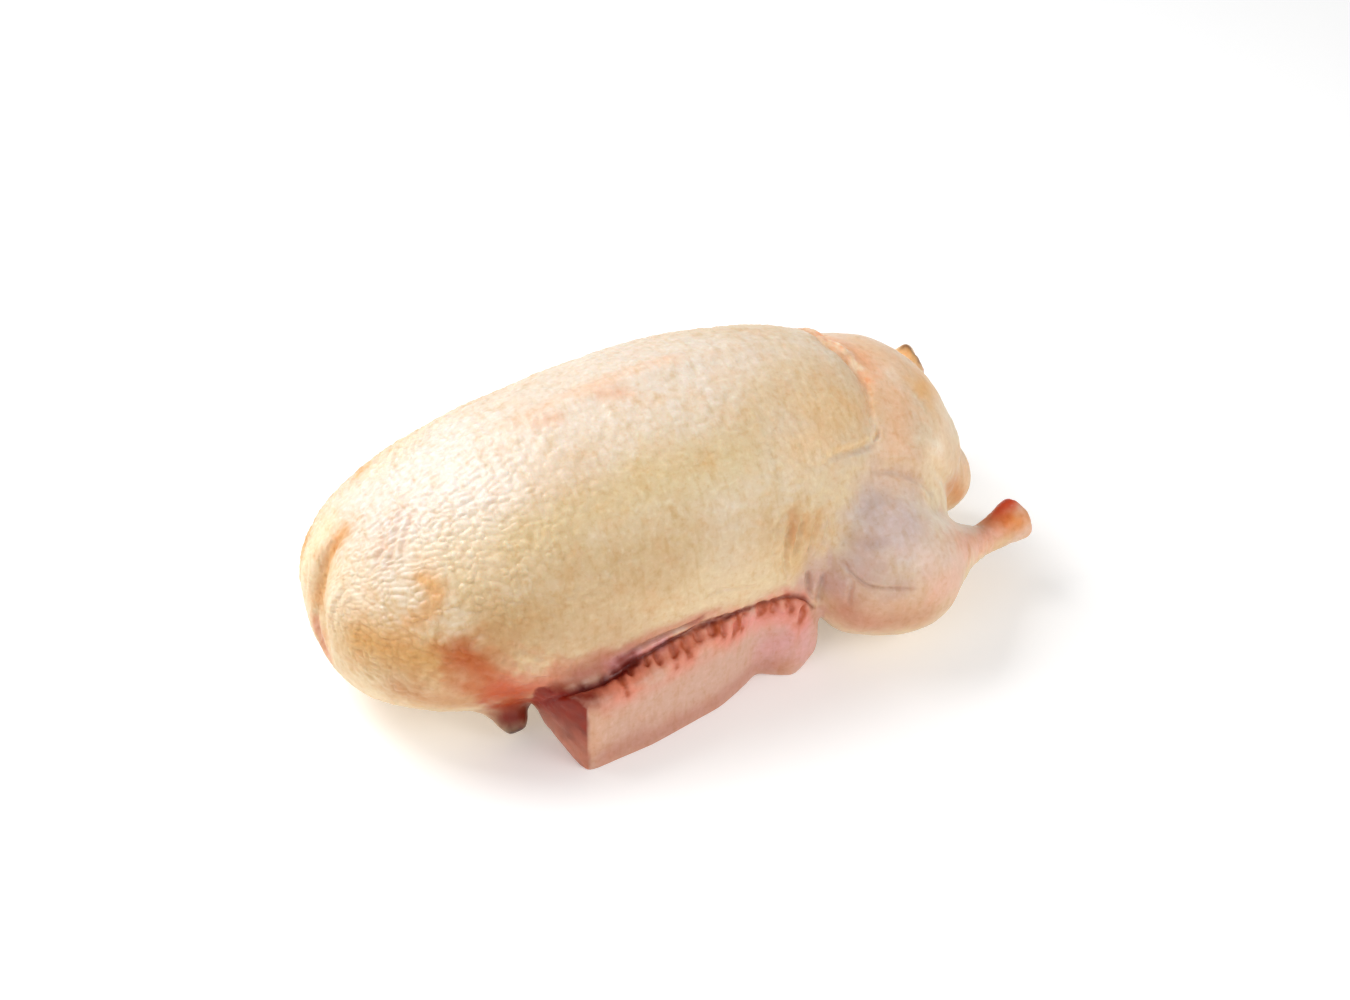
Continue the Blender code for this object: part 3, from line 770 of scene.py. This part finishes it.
def rounded_mesh(name, bm, levels):
    """The mesh with its cage subdivided."""
    mesh = bpy.data.meshes.new(name)
    bm.to_mesh(mesh)
    bm.free()
    made = bpy.data.objects.new(name, mesh)
    bpy.context.scene.collection.objects.link(made)
    rounded = made.modifiers.new("rounded", "SUBSURF")
    rounded.levels = levels
    rounded.render_levels = levels
    apply_modifiers(made)
    mesh = made.data
    bpy.data.objects.remove(made)
    return mesh


def even_share(mesh, start, spots):
    """How strongly each point is evened: a start value, and another one round each spot."""
    points = points_of(mesh)
    share = np.full(len(points), float(start))
    for spot in spots:
        for side in (-1, 1):
            reach = np.linalg.norm(points - mirrored(spot.centre, side), axis=1) / spot.radius
            share += (spot.value - share) * np.exp(-(reach**4))
    return share[:, None]


def make_skin():
    """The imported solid's surface in a fine, even mesh, finest round the folds."""
    source = bpy.data.meshes.new("skin")
    bm = bmesh.new()
    bm.from_mesh(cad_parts["goose"].data)
    bmesh.ops.remove_doubles(bm, verts=bm.verts, dist=WELD_DISTANCE)
    for side in (-1, 1):
        bm.from_mesh(make_forearm(side))
        bm.from_mesh(make_lip(side))
    bm.to_mesh(source)
    bm.free()
    skin = bpy.data.objects.new("skin", source)
    bpy.context.scene.collection.objects.link(skin)
    even = skin.modifiers.new("even", "REMESH")
    even.mode = "VOXEL"
    even.voxel_size = SKIN_GRID
    apply_modifiers(skin)
    flatten_underside(skin.data)
    relax(skin.data, FACET_ROUNDS, even_share(skin.data, EVEN_SHARE, CRISP))
    relax(skin.data, SOFT_ROUNDS, even_share(skin.data, 0, (*SOFT, *SOFT_NECK)))
    relax(skin.data, TAIL_ROUNDS, even_share(skin.data, 0, SOFT_TAIL))
    flatten_underside(skin.data)
    thin_underside(skin)
    refine(skin.data)
    return skin


def flatten_underside(mesh):
    """Nothing reaches below the floor."""
    points = points_of(mesh)
    points[:, 2] = np.maximum(points[:, 2], 0)
    set_points(mesh, points)


def thin_underside(skin):
    """Fewer faces underneath, where nothing shows."""
    heights = points_of(skin.data)[:, 2]
    downward = normals_of(skin.data)[:, 2] < FACING_DOWN
    hidden = np.flatnonzero((heights < UNDERSIDE_TOP) & downward)
    group = skin.vertex_groups.new(name="underside")
    group.add(hidden.tolist(), 1.0, "REPLACE")
    thin = skin.modifiers.new("thin", "DECIMATE")
    thin.vertex_group = group.name
    thin.vertex_group_factor = 1000
    thin.ratio = 1 - (1 - UNDERSIDE_KEPT) * len(hidden) / len(heights)
    apply_modifiers(skin)
    skin.vertex_groups.clear()


def refine(mesh):
    """Halves the grid round every fold and pit, and where the follicles stand out."""
    points = points_of(mesh)
    wanted = follicle_strength(points) > FOLLICLES_REFINED
    tree = tree_of(points)
    routes = [route for route, _ in placed_folds(tree)]
    for route in (*routes, snapped(route_through(TORN_EDGE), tree)):
        chosen = near(points, route, REFINED_REACH)
        distance, _ = distance_to(points[chosen], route)
        wanted[chosen[distance < REFINED_REACH]] = True
    bm = bmesh.new()
    bm.from_mesh(mesh)
    bm.verts.ensure_lookup_table()
    edges = [edge for edge in bm.edges if wanted[edge.verts[0].index] and wanted[edge.verts[1].index]]
    bmesh.ops.subdivide_edges(bm, edges=edges, cuts=1, use_grid_fill=True)
    bmesh.ops.triangulate(bm, faces=[face for face in bm.faces if len(face.verts) > 4])
    bm.to_mesh(mesh)
    bm.free()


def keep_budget(skin):
    """Merges the flattest faces until the skin is light enough."""
    skin.data.calc_loop_triangles()
    budget = skin.modifiers.new("budget", "DECIMATE")
    budget.ratio = min(1, MOST_TRIANGLES / len(skin.data.loop_triangles))
    apply_modifiers(skin)


def shape_skin(mesh):
    """Presses in all relief. The flat underside stays flat."""
    points = points_of(mesh)
    normals = normals_of(mesh)
    folds = list(placed_folds(tree_of(points)))
    grounded = np.clip(points[:, 2] / FLAT_FOOT, 0, 1)
    strength = follicle_strength(points)
    bump = follicle_bump(points) * strength
    lumps = layered_noise(points, LUMPS)
    drawn_out = points * (1, RIDGE_STRETCH, RIDGE_STRETCH)
    ridges = RIDGE_HEIGHT * soft_noise(drawn_out, RIDGE_SIZE, 14) * strength
    points += normals * ((FOLLICLE_HEIGHT * bump + lumps + ridges) * grounded)[:, None]
    tear(points, normals, snapped(route_through(TORN_EDGE), tree_of(points)))
    for route, fold in folds:
        press(points, normals, route, fold)
    points[:, 2] = np.maximum(points[:, 2], 0)
    set_points(mesh, points)


def paint(points, colours, route, tint):
    """Mixes a tint into the colours round a route, with an uneven edge."""
    chosen = near(points, route, TINT_REACH * tint.width)
    distance, _ = distance_to(points[chosen], route)
    uneven = 1 + layered_noise(points[chosen], TINT_FADE)
    share = tint.strength * np.exp(-((distance * uneven / tint.width) ** 2))
    colours[chosen] += (linear(tint.colour) - colours[chosen]) * share[:, None]


def paint_skin(mesh):
    """The skin's colour at every point."""
    points = points_of(mesh)
    normals = normals_of(mesh)
    tree = tree_of(points)
    colours = np.tile(linear(BASE), (len(points), 1))
    # paler where the skin faces up: partly its own colour, partly painted light from above
    pale_lit_share = np.clip(normals[:, 2] * LIT_TOP_RISE - LIT_TOP_START, 0, 1)[:, None]
    colours += (linear(PALE_LIT_TOP) - colours) * pale_lit_share

    def lay(places, tint):
        paint(points, colours, snapped(route_through(places), tree), tint)

    for tint in (*BELLY_TINTS, *KEEL_TINTS):
        lay(tint.places, tint)
    for side in (-1, 1):
        for tint in FAT_TINTS:
            lay(mirrored(tint.places, side) + np.multiply(FAR_FAT_DROP, side > 0), tint)
        for tint in TRUNK_TINTS:
            lay(mirrored(tint.places, side), tint)
        paint_forearm(points, colours, side)
        for tint in WING_TINTS:
            lay(mirrored(tint.places, side), tint)
        for tint in (*LEG_TINTS, *SHANK_END_TINTS, *(NEAR_KNOB_TINTS if side < 0 else FAR_KNOB_TINTS)):
            lay(on_leg(tint.places, side), tint)
        paint_cut(points, normals, colours, side)
        for tint in (QUILL_EDGE_TINT, QUILL_TINT):
            for route in quill_routes(side):
                paint(points, colours, snapped(route, tree), tint)
        # the crack's raw red, partly painted shade, and the lip line
        for tint in (*CRACK_RED_AND_SHADE_TINTS, LIP_LINE_TINT):
            lay(mirrored(tint.places, side), tint)
    for places in (*SHOULDER_WRINKLES, *ROOT_WRINKLES):
        lay(places, WRINKLE_TINT)
    for tint in (*NECK_TINTS, *TORN_TINTS):
        lay(tint.places, tint)
    paint_torn_edge(points, colours, snapped(route_through(TORN_EDGE), tree))
    # painted shade: the skin is darkened between the follicle bumps, most where they stand out
    painted_shade_between_bumps = follicle_strength(points) * (1 - follicle_bump(points))
    colours *= 1 - np.outer(painted_shade_between_bumps, FOLLICLE_PAINTED_SHADE)
    tinted = np.column_stack([colours, np.ones(len(points))]).astype(np.float32)
    layer = mesh.attributes.new("paint", "FLOAT_COLOR", "POINT")
    layer.data.foreach_set("color", tinted.ravel())


def paint_torn_edge(points, colours, route):
    """Pale knobs with orange between them: a painted highlight on the knobs' tops and painted shade in the
    hollows.
    """
    chosen = near(points, route, 2 * TORN_WIDTH)
    distance, _ = distance_to(points[chosen], route)
    share = TORN_PAINT * np.exp(-((distance / TORN_WIDTH) ** 2))
    knob_light = np.clip(0.5 + TORN_CONTRAST * torn_knobs(points[chosen]), 0, 1)[:, None]
    flesh_lit_and_shaded = linear(TORN_ORANGE_SHADED) + (linear(TORN_PALE_HIGHLIGHT) - linear(TORN_ORANGE_SHADED)) * knob_light
    colours[chosen] += (flesh_lit_and_shaded - colours[chosen]) * share[:, None]


def paint_forearm(points, colours, side):
    """The forearm's own skin, everywhere below the crack."""
    x, y, z = points.T
    crack_x, _, crack_z = np.array(CRACK).T
    below = np.clip((np.interp(x, crack_x, crack_z) + CRACK_EDGE - z) / CRACK_BLEND, 0, 1)
    inside = (x > FOREARM_FROM_X) & (x < FOREARM_TO_X) & (y * side > FOREARM_INNER_Y)
    share = (below * inside)[:, None]
    colours += (linear(FOREARM_SKIN) - colours) * share


def paint_cut(points, normals, colours, side):
    """Raw meat on the forearm's cut end, paler towards its foot."""
    x, y, z = points.T
    inside = (x > CUT_FROM_X) & (x < CUT_TO_X) & (y * side > CUT_INNER_Y) & (z < CUT_TOP)
    share = np.clip((-normals[:, 0] - CUT_FACING) / CUT_FACING_BLEND, 0, 1) * inside
    high = np.clip((z - CUT_FOOT) / CUT_FADE + 0.2 * soft_noise(points, 8, 9), 0, 1)[:, None]
    meat = linear(RAW_CUT_LOW) + (linear(RAW_CUT) - linear(RAW_CUT_LOW)) * high
    meat = meat * (1 + CUT_MARBLING * soft_noise(points, CUT_MARBLING_SIZE, 10)[:, None])
    colours += (meat - colours) * share[:, None]


class Graph:
    """Short calls for building a node tree."""

    def __init__(self, tree):
        self.tree = tree

    def node(self, kind, inputs=None, **settings):
        made = self.tree.nodes.new(kind)
        for name, value in settings.items():
            setattr(made, name, value)
        for name, value in (inputs or {}).items():
            if isinstance(value, bpy.types.NodeSocket):
                self.tree.links.new(value, made.inputs[name])
            else:
                made.inputs[name].default_value = value
        return made

    def math(self, operation, first, second=0.0, third=0.0):
        made = self.node("ShaderNodeMath", {0: first, 1: second, 2: third}, operation=operation)
        return made.outputs[0]

    def noise(self, place, scale, detail=2.0, roughness=0.5):
        made = self.node(
            "ShaderNodeTexNoise", {"Vector": place, "Scale": scale, "Detail": detail, "Roughness": roughness}
        )
        return made.outputs["Fac"]

    def spread(self, value, low, high, to_low=0.0, to_high=1.0):
        made = self.node(
            "ShaderNodeMapRange",
            {"Value": value, "From Min": low, "From Max": high, "To Min": to_low, "To Max": to_high},
            interpolation_type="SMOOTHSTEP",
        )
        return made.outputs[0]

    def mix(self, share, first, second, blend="MIX"):
        made = self.node("ShaderNodeMix", data_type="RGBA", blend_type=blend)
        for name, value in (("Factor", share), ("A", first), ("B", second)):
            socket = [s for s in made.inputs if s.name == name and s.enabled][0]
            if isinstance(value, bpy.types.NodeSocket):
                self.tree.links.new(value, socket)
            else:
                socket.default_value = value
        return [s for s in made.outputs if s.enabled][0]


def skin_material():
    """Raw skin: painted colour with fine mottling, pimpled, moist and slightly translucent."""
    material = bpy.data.materials.new("raw_skin")
    material.use_nodes = True
    graph = Graph(material.node_tree)
    shader = material.node_tree.nodes["Principled BSDF"]
    place = graph.node("ShaderNodeTexCoord").outputs["Object"]
    paint_layer = graph.node("ShaderNodeAttribute", attribute_name="paint").outputs["Color"]
    drawn_out = graph.node("ShaderNodeVectorMath", {0: place, 1: STREAK_STRETCH}, operation="MULTIPLY")
    blotch = graph.noise(place, BLOTCH_SCALE, 3.0, 0.6)
    mottle = graph.noise(place, MOTTLE_SCALE, 3.0, 0.6)
    grain = graph.noise(place, GRAIN_SCALE, 2.0, 0.6)
    streaks = graph.noise(drawn_out.outputs[0], STREAK_SCALE, 2.0, 0.5)
    colour = graph.mix(graph.spread(blotch, 0.48, 0.72), paint_layer, BLOTCH_SHADE, "MULTIPLY")
    colour = graph.mix(graph.spread(mottle, 0.5, 0.72), colour, MOTTLE_LIGHT, "MULTIPLY")
    colour = graph.mix(graph.spread(mottle, 0.5, 0.28), colour, MOTTLE_DARK, "MULTIPLY")
    colour = graph.mix(graph.spread(streaks, 0.5, 0.3), colour, STREAK_DARK, "MULTIPLY")
    material.node_tree.links.new(colour, shader.inputs["Base Color"])
    roughness = graph.spread(mottle, 0.3, 0.7, LEAST_ROUGH, MOST_ROUGH)
    material.node_tree.links.new(roughness, shader.inputs["Roughness"])
    for name, value in SKIN_GLOSS.items():
        shader.inputs[name].default_value = value
    height = graph.math("MULTIPLY_ADD", grain, GRAIN_HEIGHT, graph.math("MULTIPLY", mottle, MOTTLE_HEIGHT))
    bump = graph.node("ShaderNodeBump", {"Height": height, "Distance": BUMP_DEPTH, "Strength": BUMP_STRENGTH})
    material.node_tree.links.new(bump.outputs["Normal"], shader.inputs["Normal"])
    return material


def dress_goose():
    """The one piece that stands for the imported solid."""
    skin = make_skin()
    shape_skin(skin.data)
    paint_skin(skin.data)
    keep_budget(skin)
    skin.data.materials.append(skin_material())
    skin.data.shade_smooth()
    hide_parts("goose")
    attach(skin, "root")


def make_camera():
    """The photograph's view of the bird."""
    direction = Vector(
        (
            math.sin(VIEW_AZIMUTH) * math.cos(VIEW_ELEVATION),
            -math.cos(VIEW_AZIMUTH) * math.cos(VIEW_ELEVATION),
            math.sin(VIEW_ELEVATION),
        )
    )
    data = bpy.data.cameras.new("camera")
    data.lens = VIEW_LENS
    data.sensor_width = SENSOR_WIDTH
    data.shift_x = (PHOTO_WIDTH / 2 - TARGET_PIXEL[0]) / PHOTO_WIDTH
    data.shift_y = (TARGET_PIXEL[1] - PHOTO_HEIGHT / 2) / PHOTO_WIDTH
    camera = bpy.data.objects.new("camera", data)
    camera.location = VIEW_TARGET + direction * VIEW_DISTANCE
    camera.rotation_euler = direction.to_track_quat("Z", "Y").to_euler()
    bpy.context.scene.collection.objects.link(camera)
    bpy.context.scene.camera = camera


def make_floor():
    """A plain pale floor, big enough to fill every view."""
    mesh = bpy.data.meshes.new("floor")
    bm = bmesh.new()
    bmesh.ops.create_grid(bm, x_segments=1, y_segments=1, size=FLOOR_REACH)
    bm.to_mesh(mesh)
    bm.free()
    material = bpy.data.materials.new("floor")
    material.use_nodes = True
    shader = material.node_tree.nodes["Principled BSDF"]
    shader.inputs["Base Color"].default_value = FLOOR_COLOUR
    shader.inputs["Roughness"].default_value = 0.9
    shader.inputs["Emission Color"].default_value = (1, 1, 1, 1)
    shader.inputs["Emission Strength"].default_value = FLOOR_GLOW
    mesh.materials.append(material)
    floor = bpy.data.objects.new("floor", mesh)
    bpy.context.scene.collection.objects.link(floor)


def make_area_light(name, place, size, power):
    """A soft box that faces the bird."""
    data = bpy.data.lights.new(name, "AREA")
    data.shape = "SQUARE"
    data.size = size
    data.energy = power
    light = bpy.data.objects.new(name, data)
    light.location = place
    light.rotation_euler = (Vector(place) - VIEW_TARGET).to_track_quat("Z", "Y").to_euler()
    bpy.context.scene.collection.objects.link(light)


def make_lights():
    """Soft studio light: a big box above and behind, a weaker one in front, a faint one on the left."""
    world = bpy.data.worlds.new("studio")
    world.use_nodes = True
    world.node_tree.nodes["Background"].inputs["Color"].default_value = (1, 1, 1, 1)
    world.node_tree.nodes["Background"].inputs["Strength"].default_value = ROOM_LIGHT
    bpy.context.scene.world = world
    for box in SOFT_BOXES:
        make_area_light(*box)
    bpy.context.scene.view_settings.view_transform = "Standard"


def main():
    make_camera()
    make_floor()
    make_lights()
    dress_goose()


main()
